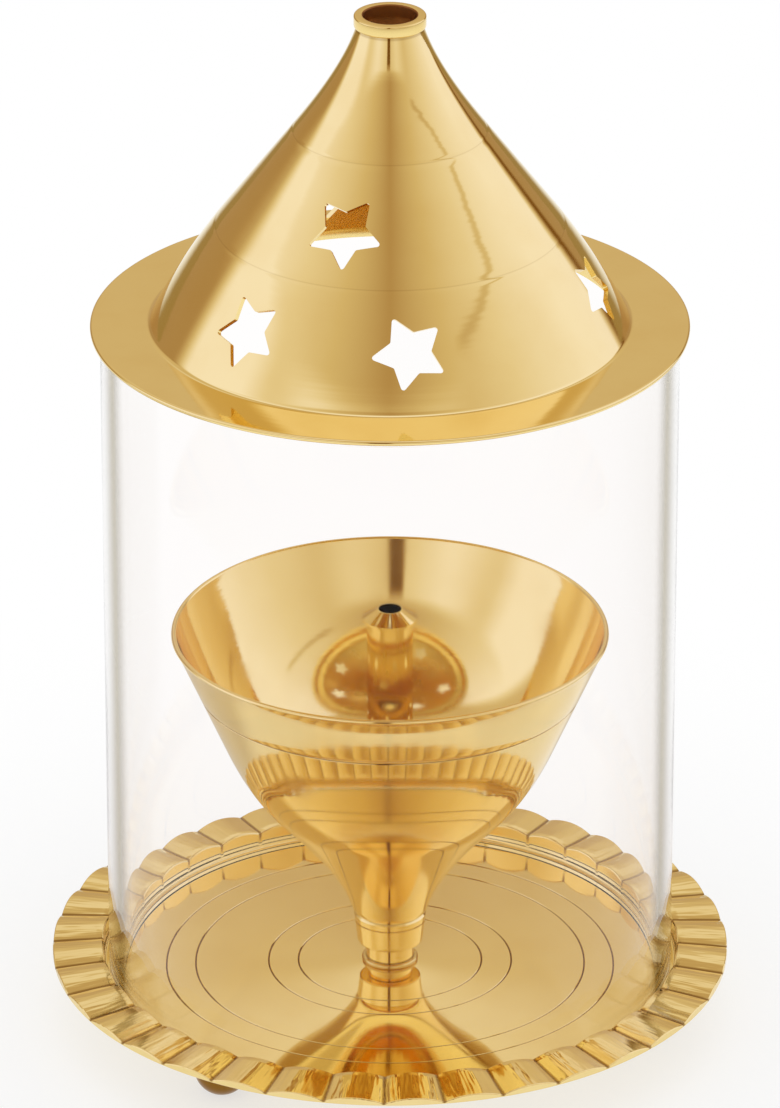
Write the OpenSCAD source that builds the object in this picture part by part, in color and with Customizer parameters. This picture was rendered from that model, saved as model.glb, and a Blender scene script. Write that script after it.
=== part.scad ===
// Akhand diya: a brass oil lamp on a fluted tray, with a glass chimney and a star-pierced lid.
// Millimetres, +Z up. The origin lies on the table, under the centre of the lamp.
// Heights in the sections below count from the top of the tray floor unless they say otherwise.

/* [Glass chimney] */
// Outer diameter of the glass tube
glass_d = 100; // [80:1:120]
// Wall of the glass tube
glass_wall = 2.5; // [1.5:0.1:4]
// Length of the glass tube
glass_h = 122; // [90:1:160]
// Rounding of the fire-polished ends of the glass
glass_edge_r = 0.6; // [0.2:0.1:0.7]

/* [Tray] */
// Thickness of the tray sheet
tray_t = 0.9; // [0.6:0.1:1.5]
// Gap between the glass and the wall of the tray recess
recess_gap = 1; // [0.5:0.1:2]
// Height of the rim crests at the recess wall
rim_crest_h = 3.75; // [3:0.05:6]
// Width of the fluted rim, from the recess wall outwards
rim_w = 9; // [6:0.5:14]
// Fall of the rim crests from the recess wall to the edge
rim_fall = 0.5; // [0:0.1:1]
// Thickness of the rim at a crest on its outer edge
rim_t = 1.4; // [1.2:0.1:2]
// Number of flutes in the rim
flute_count = 36; // [24:1:48]
// Depth of the creases between flutes at the outer edge
flute_depth = 0.95; // [0.5:0.05:1.1]
// Compass angle of one crease, from the front towards the right
flute_phase = -1; // [-10:1:10]
// Radii of the engraved rings on the tray floor
ring_radii = [16.3, 21.6, 34.6, 39.8];
// Width of an engraved line
ring_line_w = 0.36; // [0.2:0.02:0.6]
// Depth of an engraved line
ring_line_depth = 0.2; // [0.1:0.02:0.3]

/* [Feet] */
// Height of the tray's underside above the table
foot_h = 8.9; // [7:0.1:14]
// Diameter of a ball foot
foot_d = 9.7; // [7:0.1:12]
// Diameter of the neck that joins a ball foot to the tray
foot_neck_d = 5; // [3:0.1:6]
// Diameter of the flat that a foot stands on
foot_flat_d = 2.4; // [1.5:0.1:4]
// Distance of the circle of feet inside the recess wall
foot_inset = 7; // [6:0.5:16]
// Compass angle of the first foot, from the front towards the right
foot_angle = -42; // [-60:1:0]

/* [Stem fixing] */
// Height of the spool between the tray and the stem
spool_h = 3.9; // [2:0.1:8]
// Diameter of the neck of the spool
spool_neck_d = 8.5; // [7:0.1:11]
// Diameter of the foot ring of the spool
spool_ring_d = 10; // [8:0.1:14]
// Height of the foot ring of the spool
spool_ring_h = 0.9; // [0.5:0.1:1.5]
// Diameter of the screw that holds the stem to the tray
screw_d = 4; // [3:0.5:5]
// Depth of the screw in the stem
screw_grip = 7; // [5:0.5:8]
// Diameter of the screw head
screw_head_d = 7.5; // [6:0.1:9]
// Height of the screw head
screw_head_h = 2.6; // [1.5:0.1:4]
// Outer diameter of the washer
washer_d = 10; // [8:0.5:14]
// Thickness of the washer
washer_t = 0.8; // [0.5:0.1:1.5]

/* [Oil bowl] */
// Outer diameter of the bowl at its rim
bowl_rim_d = 76.7; // [70:0.1:84]
// Height of the bowl rim
bowl_rim_h = 65.2; // [58:0.1:80]
// Wall of the bowl
bowl_wall = 0.95; // [0.7:0.05:1.5]
// Diameter of the stem at its lower end
stem_d = 11.7; // [10.5:0.1:14]
// Diameter of the stem at its ring groove
stem_top_d = 12.9; // [11:0.1:15]
// Height of the ring groove on the stem
stem_top_h = 9.7; // [7.5:0.1:11]
// Diameter of the bowl where its flare turns over
flare_d = 40.6; // [34:0.1:46]
// Height at which the flare turns over
flare_h = 30; // [26:0.1:34]
// Diameter of the bowl at its shoulder
shoulder_d = 58.4; // [50:0.1:64]
// Height of the shoulder
shoulder_h = 44; // [40:0.1:50]
// Height of the oil floor inside the bowl
oil_floor_h = 37.5; // [34:0.1:41]
// Diameter of the flat in the middle of the oil floor
oil_floor_d = 16; // [13:0.5:24]
// Distance of the engraved line below the bowl rim
bowl_line_drop = 10.4; // [6:0.1:16]

/* [Wick holder] */
// Outer diameter of the wick tube
wick_tube_d = 8.1; // [7:0.1:10]
// Bore of the wick tube
wick_tube_bore = 5.6; // [4.6:0.1:6]
// Diameter of the hole for the wick
wick_hole_d = 4; // [3:0.1:4.4]
// Height of the wick hole's mouth
wick_top_h = 68.6; // [66:0.1:84]
// Depth of the socket for the tube below the oil floor
wick_socket_depth = 4; // [2:0.1:4.5]
// Radial clearance of the tube in its socket
wick_clearance = 0.05; // [0.02:0.01:0.1]
// Diameter of the nozzle at its overhanging edge
nozzle_d = 9.7; // [8.5:0.1:12]
// Height of the nozzle cone
nozzle_cone_h = 1.6; // [1:0.1:4]
// Thickness of the nozzle at its edge
nozzle_edge_h = 0.4; // [0.2:0.1:1]
// Length of the nozzle's spigot in the tube
nozzle_spigot_h = 3; // [2:0.1:6]
// Diameter of the oil feed hole across the tube
feed_hole_d = 2.5; // [1.5:0.1:3.5]

/* [Lid] */
// Thickness of the spun lid sheet
lid_t = 0.9; // [0.6:0.1:1.3]
// Overhang of the brim beyond the glass
brim_overhang = 1.7; // [0.5:0.1:4]
// Diameter of the cone where it meets the brim
cone_base_d = 82.9; // [76:0.1:88]
// Diameter of the cone at the lower spinning line
line_low_d = 60; // [56:0.5:64]
// Height of the lower spinning line above the brim
line_low_h = 18.2; // [15:0.1:22]
// Diameter of the cone at the upper spinning line
line_high_d = 33.4; // [30:0.1:37]
// Height of the upper spinning line above the brim
line_high_h = 35.5; // [33:0.1:40]
// Diameter of the neck at the top of the cone
neck_d = 11.5; // [10.5:0.1:13]
// Height of the neck's end above the brim
neck_h = 54.3; // [52:0.1:62]
// Swell of the lower band of the cone
cone_swell = 0.4; // [0:0.1:0.8]

/* [Lid fittings] */
// Outer diameter of the collar on the neck
collar_d = 12.4; // [11.6:0.1:15]
// Diameter of the smoke hole in the collar
collar_hole_d = 9.2; // [7:0.1:9.4]
// Height of the collar
collar_h = 2.1; // [1.5:0.1:4]
// Height of the locating ring under the brim
locator_h = 1.8; // [1:0.1:4]
// Thickness of the locating ring
locator_t = 1; // [0.6:0.1:2]
// Gap between the locating ring and the glass
locator_gap = 0.5; // [0.3:0.1:1]

/* [Stars] */
// Number of upper stars, evenly spaced round the lid
upper_star_count = 2; // [1:1:3]
// Number of pairs of lower stars, evenly spaced round the lid
star_pair_count = 3; // [2:1:3]
// Compass angle of the first upper star and the first pair, from the front towards the right
star_angle = -18.5; // [-60:0.5:60]
// Angle from the middle of a pair to each of its stars
star_spread = 23.8; // [20:0.1:30]
// Height of the upper stars above the brim
star_high_h = 25.8; // [25:0.1:29]
// Height of the lower stars above the brim
star_low_h = 9.3; // [8.5:0.1:10.5]
// Radius of a star's points
star_tip_r = 6.85; // [4:0.05:7]
// Radius of a star's notches
star_notch_r = 3.7; // [2:0.05:4]
// Turn of an upper star, and of the left and right star of a pair
star_turns = [7, -3, -13];

/* [Hidden] */
$fn = 96;

brass = "goldenrod";
brass_dark = "darkgoldenrod";
steel = "silver";
glass_colour = [0.85, 0.92, 0.95, 0.35];
eps = 0.01;
curve_steps = 8;

// Heights above the table
floor_z = foot_h + tray_t;
brim_z = floor_z + glass_h;
brim_top_z = brim_z + lid_t;

// Tray
recess_r = glass_d / 2 + recess_gap;
recess_fillet = 0.6;
rim_r = recess_r + rim_w;
foot_circle_r = recess_r - foot_inset;
rim_under_h = rim_crest_h - rim_fall - rim_t;
crest_slope = -rim_fall / rim_w;
// Flat strips in the top of one flute, and the room round the rim for the mould that shapes them
flute_steps = 8;
mould_margin = 1;

// Fits
screw_clearance = 0.2;
thread_clearance = 0.05;
spigot_clearance = 0.02;
screw_slot_w = 1;
screw_slot_depth = 1.2;
stem_edge = 0.5;

// The inside of the bowl is rounder than its outside and turns over a little inside the shoulder
inside_turn = 1.6;
inside_steps = 12;

// Wick holder
wick_bottom_h = oil_floor_h - wick_socket_depth;
nozzle_edge_z = wick_top_h - nozzle_cone_h - nozzle_edge_h;
nozzle_mouth_lip = 0.35;

// Points of a quadratic curve from a to c that leaves and arrives towards b
function curve(a, b, c, n = curve_steps) =
    [for (i = [0 : n]) let (t = i / n) a * pow(1 - t, 2) + b * 2 * t * (1 - t) + c * pow(t, 2)];

// Points of a circular arc
function arc(centre, r, from, to, n = curve_steps) =
    [for (i = [0 : n]) let (a = from + (to - from) * i / n) centre + r * [cos(a), sin(a)]];

// The path moved sideways by d, to its left when d is positive
function beside(path, d) = [
    for (i = [0 : len(path) - 1])
        let (before = path[max(i - 1, 0)], after = path[min(i + 1, len(path) - 1)])
        let (along = (after - before) / norm(after - before))
        path[i] + d * [-along[1], along[0]]
];

function reversed(path) = [for (i = [len(path) - 1 : -1 : 0]) path[i]];

// The radius of a path at a height, for a path that climbs
function radius_at(path, h) = lookup(h, [for (p = path) [p[1], p[0]]]);

// Turns a child from the +X side to a compass angle, counted from the front towards the right
module at_compass(angle) {
    rotate([0, 0, angle - 90])
        children();
}

// Tray

// Half outline of the floor with its engraved rings, the recess wall and the rim before its flutes
module tray_outline() {
    line = ring_line_w / 2;
    hole_r = screw_d / 2 + screw_clearance;
    blank_h = rim_crest_h + mould_margin;
    polygon(concat(
        [[hole_r, -tray_t], [recess_r + tray_t, -tray_t]],
        [[recess_r + tray_t, rim_under_h], [rim_r, rim_under_h], [rim_r, blank_h], [recess_r, blank_h]],
        arc([recess_r - recess_fillet, recess_fillet], recess_fillet, 0, -90),
        [for (i = [len(ring_radii) - 1 : -1 : 0], p = [[line, 0], [0, -ring_line_depth], [-line, 0]])
            [ring_radii[i], 0] + p],
        [[hole_r, 0]]
    ));
}

// Height of the rim's top at a radius, with across from -0.5 to 0.5 between two creases
function flute_top(r, across) =
    rim_crest_h + (r - recess_r) * crest_slope - flute_depth * r / rim_r * pow(2 * across, 2);

// The ring of space above the rim: its lower side has the convex flutes and sharp creases
module flute_mould() {
    count = flute_count * flute_steps;
    inner = recess_r - mould_margin;
    outer = rim_r + mould_margin;
    top = rim_crest_h + 2 * mould_margin;
    points = [
        for (i = [0 : count - 1])
            let (angle = flute_phase - 90 + i * 360 / count, across = (i % flute_steps) / flute_steps - 0.5)
            let (low = [[inner, flute_top(inner, across)], [outer, flute_top(outer, across)]])
            for (p = concat(low, [[outer, top], [inner, top]]))
                [p[0] * cos(angle), p[0] * sin(angle), p[1]]
    ];
    faces = [
        for (i = [0 : count - 1], k = [0 : 3])
            let (here = 4 * i, next = 4 * ((i + 1) % count), k_next = (k + 1) % 4)
            [here + k, here + k_next, next + k_next, next + k]
    ];
    polyhedron(points, faces);
}

module base_tray() {
    color(brass)
        translate([0, 0, floor_z])
            difference() {
                rotate_extrude()
                    tray_outline();
                flute_mould();
            }
}

// Feet

module ball_foot(index) {
    ball_z = sqrt(pow(foot_d / 2, 2) - pow(foot_flat_d / 2, 2));
    color(brass_dark)
        at_compass(foot_angle + index * 120)
            translate([foot_circle_r, 0, 0])
                intersection() {
                    union() {
                        translate([0, 0, ball_z])
                            sphere(d = foot_d);
                        translate([0, 0, ball_z])
                            cylinder(h = foot_h, d = foot_neck_d);
                    }
                    cylinder(h = foot_h, d = foot_d + 1);
                }
}

module foot_front_left() { ball_foot(0); }
module foot_right() { ball_foot(1); }
module foot_back() { ball_foot(2); }

// Stem fixing

module stem_washer() {
    color(steel)
        translate([0, 0, foot_h - washer_t])
            difference() {
                cylinder(h = washer_t, d = washer_d);
                translate([0, 0, -eps])
                    cylinder(h = washer_t + 2 * eps, d = screw_d + 2 * screw_clearance);
            }
}

module stem_screw() {
    seat_z = foot_h - washer_t;
    tip_z = floor_z + spool_h + screw_grip;
    color(steel)
        difference() {
            union() {
                translate([0, 0, seat_z - screw_head_h])
                    cylinder(h = screw_head_h, d1 = screw_head_d - 1.2, d2 = screw_head_d);
                translate([0, 0, seat_z])
                    cylinder(h = tip_z - seat_z, d = screw_d);
            }
            translate([-screw_head_d / 2, -screw_slot_w / 2, seat_z - screw_head_h - eps])
                cube([screw_head_d, screw_slot_w, screw_slot_depth]);
        }
}

// The spool lifts the stem off the tray, so that it seems to stand on its own reflection
module stem_spool() {
    hole_r = screw_d / 2 + screw_clearance;
    ring_r = spool_ring_d / 2;
    edge = spool_ring_h / 2;
    color(brass)
        translate([0, 0, floor_z])
            rotate_extrude()
                polygon(concat(
                    [[hole_r, 0]],
                    arc([ring_r - edge, edge], edge, -90, 90),
                    [[spool_neck_d / 2, spool_ring_h], [spool_neck_d / 2, spool_h], [hole_r, spool_h]]
                ));
}

// Oil bowl

stem_r = stem_d / 2;
stem_foot = [[stem_r - stem_edge, spool_h], [stem_r, spool_h + stem_edge], [stem_top_d / 2, stem_top_h]];
flare_start = [stem_top_d / 2, stem_top_h];
flare_end = [flare_d / 2, flare_h];
shoulder = [shoulder_d / 2, shoulder_h];
bowl_rim = [bowl_rim_d / 2, bowl_rim_h];
// The flare leaves the stem a little splayed and crosses its turning point at a slope near 45 degrees
flare_bend = flare_start + [2, 8];
flare_slope = (flare_end - flare_bend) / (flare_end[1] - flare_bend[1]);
shoulder_slope = (bowl_rim - shoulder) / (bowl_rim[1] - shoulder[1]);
// Height above the turning point at which the slopes of the flare and of the rim band meet
shoulder_bend_rise = (shoulder[0] - flare_end[0] - shoulder_slope[0] * (shoulder_h - flare_h))
    / (flare_slope[0] - shoulder_slope[0]);
shoulder_bend = flare_end + flare_slope * shoulder_bend_rise;
bowl_path = concat(
    curve(flare_start, flare_bend, flare_end),
    [for (p = curve(flare_end, shoulder_bend, shoulder)) if (p != flare_end) p],
    [bowl_rim]
);
rim_round = bowl_wall / 2;
bowl_inside = curve(
    bowl_rim - [bowl_wall, rim_round], [shoulder[0] - inside_turn, oil_floor_h],
    [oil_floor_d / 2, oil_floor_h], inside_steps
);

module bowl_outline() {
    outside = [for (p = bowl_path) if (p[1] < bowl_rim_h - rim_round) p];
    polygon(concat(
        [[0, spool_h]],
        stem_foot,
        outside,
        arc(bowl_rim + [-rim_round, -rim_round], rim_round, 0, 180),
        [for (p = bowl_inside) if (p != bowl_inside[0]) p],
        [[0, oil_floor_h]]
    ));
}

// A fine line turned into the bowl at one height
module turned_line(path, h) {
    r = radius_at(path, h);
    rotate_extrude()
        polygon([
            [r - ring_line_depth, h], [r + ring_line_w, h - ring_line_w], [r + ring_line_w, h + ring_line_w]
        ]);
}

module oil_bowl() {
    color(brass)
        translate([0, 0, floor_z])
            difference() {
                rotate_extrude()
                    bowl_outline();
                translate([0, 0, spool_h - eps])
                    cylinder(h = screw_grip + 0.8, d = screw_d + 2 * thread_clearance);
                translate([0, 0, wick_bottom_h])
                    cylinder(h = wick_socket_depth + 1, d = wick_tube_d + 2 * wick_clearance);
                turned_line(bowl_path, bowl_rim_h - bowl_line_drop);
                turned_line(bowl_path, stem_top_h);
            }
}

// Wick holder

module wick_tube() {
    tube_h = nozzle_edge_z - wick_bottom_h;
    feed_z = wick_socket_depth + feed_hole_d;
    color(brass_dark)
        translate([0, 0, floor_z + wick_bottom_h])
            difference() {
                cylinder(h = tube_h, d = wick_tube_d);
                translate([0, 0, -eps])
                    cylinder(h = tube_h + 2 * eps, d = wick_tube_bore);
                translate([0, -wick_tube_d, feed_z])
                    rotate([-90, 0, 0])
                        cylinder(h = 2 * wick_tube_d, d = feed_hole_d);
            }
}

module wick_nozzle() {
    hole_r = wick_hole_d / 2;
    spigot_r = wick_tube_bore / 2 - spigot_clearance;
    color(brass)
        translate([0, 0, floor_z + nozzle_edge_z])
            rotate_extrude()
                polygon([
                    [hole_r, -nozzle_spigot_h], [spigot_r, -nozzle_spigot_h], [spigot_r, 0],
                    [nozzle_d / 2, 0], [nozzle_d / 2, nozzle_edge_h],
                    [hole_r + nozzle_mouth_lip, nozzle_edge_h + nozzle_cone_h],
                    [hole_r, nozzle_edge_h + nozzle_cone_h]
                ]);
}

// Glass chimney

module glass_chimney() {
    outer = glass_d / 2;
    inner = outer - glass_wall;
    e = glass_edge_r;
    color(glass_colour)
        translate([0, 0, floor_z])
            rotate_extrude()
                polygon(concat(
                    arc([outer - e, e], e, -90, 0, 4),
                    arc([outer - e, glass_h - e], e, 0, 90, 4),
                    arc([inner + e, glass_h - e], e, 90, 180, 4),
                    arc([inner + e, e], e, 180, 270, 4)
                ));
}

// Lid

cone_base = [cone_base_d / 2, 0];
line_low = [line_low_d / 2, line_low_h];
line_high = [line_high_d / 2, line_high_h];
neck = [neck_d / 2, neck_h];
band_slope = (line_high - line_low) / (line_high_h - line_low_h);
band_normal = [line_low_h, (cone_base_d - line_low_d) / 2];
// The flare of the neck starts along the band below it and ends a little splayed
neck_splay = 0.3;
neck_bend_rise = (line_high[0] - neck[0] - neck_splay * (neck_h - line_high_h))
    / (-band_slope[0] - neck_splay);
swell_bend = (cone_base + line_low) / 2 + 2 * cone_swell * band_normal / norm(band_normal);
cone_path = concat(
    curve(cone_base, swell_bend, line_low, 4),
    curve(line_high, line_high + band_slope * neck_bend_rise, neck)
);

module lid_outline() {
    brim_r = glass_d / 2 + brim_overhang;
    edge = lid_t / 2;
    inside = [for (p = reversed(beside(cone_path, lid_t))) if (p[1] > 0 && p[1] < neck_h) p];
    polygon(concat(
        arc([brim_r - edge, -edge], edge, -90, 90),
        cone_path,
        [[neck[0] - lid_t, neck_h]],
        inside,
        [[radius_at(beside(cone_path, lid_t), 0), -lid_t]]
    ));
}

// A five-pointed star with one point down, before it is turned
module star_outline() {
    polygon([
        for (i = [0 : 9])
            (i % 2 == 0 ? star_tip_r : star_notch_r) * [cos(36 * i - 90), sin(36 * i - 90)]
    ]);
}

// Cuts a star square through the sheet of the cone at one height
module star_cut(compass, h, turn) {
    step = 1;
    low = radius_at(cone_path, h - step);
    high = radius_at(cone_path, h + step);
    lean = atan((low - high) / (2 * step));
    at_compass(compass)
        translate([(low + high) / 2, 0, h])
            rotate([0, -lean, 0])
                rotate([90, 0, 90])
                    rotate([0, 0, turn])
                        linear_extrude(10 * lid_t, center = true)
                            star_outline();
}

module lid_cone() {
    color(brass)
        translate([0, 0, brim_top_z])
            difference() {
                rotate_extrude()
                    lid_outline();
                for (i = [0 : upper_star_count - 1])
                    star_cut(star_angle + i * 360 / upper_star_count, star_high_h, star_turns[0]);
                for (i = [0 : star_pair_count - 1]) {
                    middle = star_angle + i * 360 / star_pair_count;
                    star_cut(middle - star_spread, star_low_h, star_turns[1]);
                    star_cut(middle + star_spread, star_low_h, star_turns[2]);
                }
            }
}

module lid_locating_ring() {
    outer = glass_d / 2 - glass_wall - locator_gap;
    color(brass_dark)
        translate([0, 0, brim_z - locator_h])
            difference() {
                cylinder(h = locator_h, r = outer);
                translate([0, 0, -eps])
                    cylinder(h = locator_h + 2 * eps, r = outer - locator_t);
            }
}

module chimney_collar() {
    edge = collar_h / 4;
    color(brass_dark)
        translate([0, 0, brim_top_z + neck_h])
            rotate_extrude()
                polygon(concat(
                    [[collar_hole_d / 2, 0]],
                    arc([collar_d / 2 - edge, edge], edge, -90, 0, 4),
                    arc([collar_d / 2 - edge, collar_h - edge], edge, 0, 90, 4),
                    [[collar_hole_d / 2, collar_h]]
                ));
}

base_tray();
foot_front_left();
foot_right();
foot_back();
stem_washer();
stem_screw();
stem_spool();
oil_bowl();
wick_tube();
wick_nozzle();
glass_chimney();
lid_cone();
lid_locating_ring();
chimney_collar();
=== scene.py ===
"""Looks of the akhand diya: polished brass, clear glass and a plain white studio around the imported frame."""

import math

import bmesh
import bpy
from mathutils import Matrix, Vector


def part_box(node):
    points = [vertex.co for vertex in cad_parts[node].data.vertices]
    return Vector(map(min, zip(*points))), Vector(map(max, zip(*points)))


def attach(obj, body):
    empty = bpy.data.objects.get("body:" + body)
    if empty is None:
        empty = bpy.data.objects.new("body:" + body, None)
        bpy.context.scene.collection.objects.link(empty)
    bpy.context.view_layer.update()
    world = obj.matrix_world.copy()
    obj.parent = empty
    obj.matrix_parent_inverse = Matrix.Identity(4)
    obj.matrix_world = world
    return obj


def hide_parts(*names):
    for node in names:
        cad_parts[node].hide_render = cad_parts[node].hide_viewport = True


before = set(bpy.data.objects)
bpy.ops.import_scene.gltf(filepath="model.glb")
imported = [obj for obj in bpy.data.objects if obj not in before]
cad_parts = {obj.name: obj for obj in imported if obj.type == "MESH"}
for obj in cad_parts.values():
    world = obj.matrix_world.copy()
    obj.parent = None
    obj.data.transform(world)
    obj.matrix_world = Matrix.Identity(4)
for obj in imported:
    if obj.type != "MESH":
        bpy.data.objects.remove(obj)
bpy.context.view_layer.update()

MM = 0.001
# Points of a mesh that lie closer, in metres, are welded
WELD_GAP = 0.002 * MM


def box_mm(node):
    """Lowest and highest corner of a CAD node, in millimetres."""
    low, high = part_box(node)
    return low / MM, high / MM


# Sizes read from the frame, in millimetres; heights count from the table
TRAY_LOW, TRAY_HIGH = box_mm("base_tray")
SPOOL_LOW, SPOOL_HIGH = box_mm("stem_spool")
BOWL_LOW, BOWL_HIGH = box_mm("oil_bowl")
TUBE_LOW, TUBE_HIGH = box_mm("wick_tube")
NOZZLE_LOW, NOZZLE_HIGH = box_mm("wick_nozzle")
GLASS_LOW, GLASS_HIGH = box_mm("glass_chimney")
RING_LOW, RING_HIGH = box_mm("lid_locating_ring")
WASHER_LOW, WASHER_HIGH = box_mm("stem_washer")
LID_LOW, LID_HIGH = box_mm("lid_cone")
COLLAR_LOW, COLLAR_HIGH = box_mm("chimney_collar")
FOOT_LOW, FOOT_HIGH = box_mm("foot_front_left")
FLOOR = SPOOL_LOW.z

# Tray, as in the part's source
RECESS_R = 51.0
TRAY_T = 0.9
RIM_UNDER = FLOOR + 1.85
RIM_CREST = FLOOR + 3.75
RIM_FALL = 0.5
FLUTE_COUNT = 36
FLUTE_DEPTH = 0.95
FLUTE_PHASE = -1.0
CREASE_SHARPNESS = 0.75
RING_RADII = (16.3, 21.6, 34.6, 39.8)
RING_LINE_W = 0.36
RING_LINE_DEPTH = 0.2
SCREW_HOLE_R = 2.2
DOME_RELIEF = 4.2
STREAK_RELIEF = 0.25

# Bowl and stem
BOWL_WALL = 0.95
STEM_R = 5.85
STEM_TOP = (6.45, FLOOR + 9.7)
GROOVE_DEPTH = 0.4
GROOVE_LIP = 0.05
GROOVE_LOW = STEM_TOP[1] - 0.35
GROOVE_HIGH = STEM_TOP[1] + 0.3
FLARE_BEND = (STEM_TOP[0] + 2.0, STEM_TOP[1] + 8.0)
FLARE_END = (20.3, FLOOR + 30.0)
SHOULDER = (29.2, FLOOR + 44.0)
OIL_FLOOR = FLOOR + 37.5
OIL_FLOOR_R = 8.0
INSIDE_TURN = 1.6
BOWL_LINE = FLOOR + 54.8
SOCKET_R = 4.1
THREAD_HOLE_R = 2.05
THREAD_HOLE_TOP = BOWL_LOW.z + 7.79
BAND_RELIEF = 0.7
BAND_RELIEF_REACH = 8.0
SPOOL_RING_H = 0.9
SPOOL_NECK_R = 4.25
SPOOL_NECK_EDGE = 0.5

# Wick holder and collar
TUBE_BORE_R = 2.8
WICK_HOLE_R = 2.0
FEED_HOLE_R = 1.25
FEED_HOLE_H = TUBE_LOW.z + 6.5
SPIGOT_R = TUBE_BORE_R - 0.02
NOZZLE_BAND_H = 0.4
NOZZLE_LIP = 0.35
COLLAR_HOLE_R = 4.6
COLLAR_HOLE_EDGE_R = 0.3
COLLAR_EDGE_SHARE = 0.15

# Glass
GLASS_WALL = 2.5
GLASS_END_GAP = 0.05
GLASS_FOOT_EDGE_R = 0.2
GLASS_EDGE_R = 0.8

# Lid
LID_T = 0.9
BRIM_TOP = LID_LOW.z + LID_T
CONE_BASE_R = 41.45
LINE_LOW = (30.0, BRIM_TOP + 18.2)
LINE_HIGH = (16.7, BRIM_TOP + 35.5)
NECK_R = 5.75
NECK_SLOPE = -0.3
CONE_SWELL = 0.8
CONE_FOOT_ROUND = 1.0
LID_LINE_W = 0.5
LID_LINE_DEPTH = 0.045
BORE_SHADE_DEPTH = 4.0
LOCATING_RING_T = 1.0
UPPER_STAR_COUNT = 2
STAR_PAIR_COUNT = 3
STAR_ANGLE = -18.5
STAR_SPREAD = 23.8
STAR_HIGH = BRIM_TOP + 25.8
STAR_LOW = BRIM_TOP + 9.3
STAR_TIP_R = 6.85
STAR_NOTCH_R = 3.7
STAR_CORNER_R = 0.45
STAR_CUT_DEPTH = 9.0
STAR_TURNS = (7.0, -3.0, -13.0)

# Feet
FOOT_COUNT = 3
FOOT_CIRCLE_R = RECESS_R - 7.0
FOOT_ANGLE = -42.0
FOOT_NECK_R = 2.5
FOOT_FLAT_R = 1.2

# How dark the brass is made in a line, crease or seam, from 0 to 1: painted shade in the flute creases, in the
# seam under the collar and where the spool meets tray and stem, and a plain darkening in the engraved lines
CREASE_PAINTED_SHADE = 0.6
LID_LINE_DARKENING = 0.22
LID_SEAM_PAINTED_SHADE = 0.3
STEM_GROOVE_DARKENING = 0.2
SPOOL_RING_PAINTED_SHADE = 0.25
SPOOL_LOW_PAINTED_SHADE = 0.4
SPOOL_HIGH_PAINTED_SHADE = 0.6

# Camera of the photo, in metres, degrees and millimetres of lens, and the floor, in metres
CAMERA_TARGET_H = 0.0885
CAMERA_DISTANCE = 1.491
CAMERA_RISE = 24.6
CAMERA_LENS = 277.8
STUDIO_HALF_WIDTH = 4.0


class Nodes:
    """Adds nodes to a tree: an input that is a socket is linked, and any other is set."""

    def __init__(self, tree):
        self.tree = tree

    def fill(self, node, inputs):
        for key, value in inputs.items():
            if isinstance(value, bpy.types.NodeSocket):
                self.tree.links.new(value, node.inputs[key])
            else:
                node.inputs[key].default_value = value
        return node

    def add(self, kind, inputs=None, **settings):
        node = self.tree.nodes.new(kind)
        for name, value in settings.items():
            setattr(node, name, value)
        return self.fill(node, inputs or {})

    def join(self, *meshes):
        node = self.add("GeometryNodeJoinGeometry")
        for mesh in reversed(meshes):
            self.tree.links.new(mesh, node.inputs[0])
        return node.outputs[0]

    def math(self, operation, *values):
        return self.add("ShaderNodeMath", dict(enumerate(values)), operation=operation).outputs[0]

    def vector(self, x=0.0, y=0.0, z=0.0):
        return self.add("ShaderNodeCombineXYZ", {0: x, 1: y, 2: z}).outputs[0]

    def step(self, value, low, high, start=0.0, end=1.0):
        """Rises smoothly from start to end while value goes from low to high."""
        inputs = {"Value": value, "From Min": low, "From Max": high, "To Min": start, "To Max": end}
        return self.add("ShaderNodeMapRange", inputs, interpolation_type="SMOOTHSTEP").outputs[0]

    def off_axis(self, x, y):
        """Distance from the Z axis."""
        return self.math("SQRT", self.math("ADD", self.math("MULTIPLY", x, x), self.math("MULTIPLY", y, y)))


# Profiles: points (radius, height) in millimetres


def bend(a, b, c, steps=24):
    """Points of a quadratic curve from a to c that leaves and arrives towards b."""
    points = []
    for i in range(steps + 1):
        t = i / steps
        points.append(tuple(p * (1 - t) ** 2 + q * 2 * t * (1 - t) + s * t * t for p, q, s in zip(a, b, c)))
    return points


def arc(centre, radius, start, end, steps=6):
    """Points of a circular arc, with its angles in degrees."""
    angles = [math.radians(start + (end - start) * i / steps) for i in range(steps + 1)]
    return [(centre[0] + radius * math.cos(a), centre[1] + radius * math.sin(a)) for a in angles]


def line(a, b, steps):
    """Points of a straight stretch from a to b, without its ends."""
    return [tuple(p + (q - p) * i / steps for p, q in zip(a, b)) for i in range(1, steps)]


def beside(path, distance):
    """The path moved sideways, to its left where distance is positive."""
    moved = []
    for i, point in enumerate(path):
        before, after = path[max(i - 1, 0)], path[min(i + 1, len(path) - 1)]
        along = Vector((after[0] - before[0], after[1] - before[1])).normalized()
        moved.append((point[0] - distance * along.y, point[1] + distance * along.x))
    return moved


def radius_at(path, height):
    """Radius of a climbing path at a height."""
    for (r0, z0, *_), (r1, z1, *_) in zip(path, path[1:]):
        if z0 <= height <= z1:
            return r0 + (r1 - r0) * (height - z0) / (z1 - z0)
    raise ValueError(f"the path doesn't reach {height}")


def notched(path, height, width=0.36, depth=0.16, engraved=1.0):
    """A climbing path with a fine line turned into it at a height, whose engraved weight darkens the brass
    there.
    """
    below = [p for p in path if p[1] < height - width]
    above = [p for p in path if p[1] > height + width]
    edge_low = (radius_at(path, height - width / 2), height - width / 2)
    edge_high = (radius_at(path, height + width / 2), height + width / 2)
    return below + [edge_low, (radius_at(path, height) - depth, height, 0.0, engraved), edge_high] + above


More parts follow.
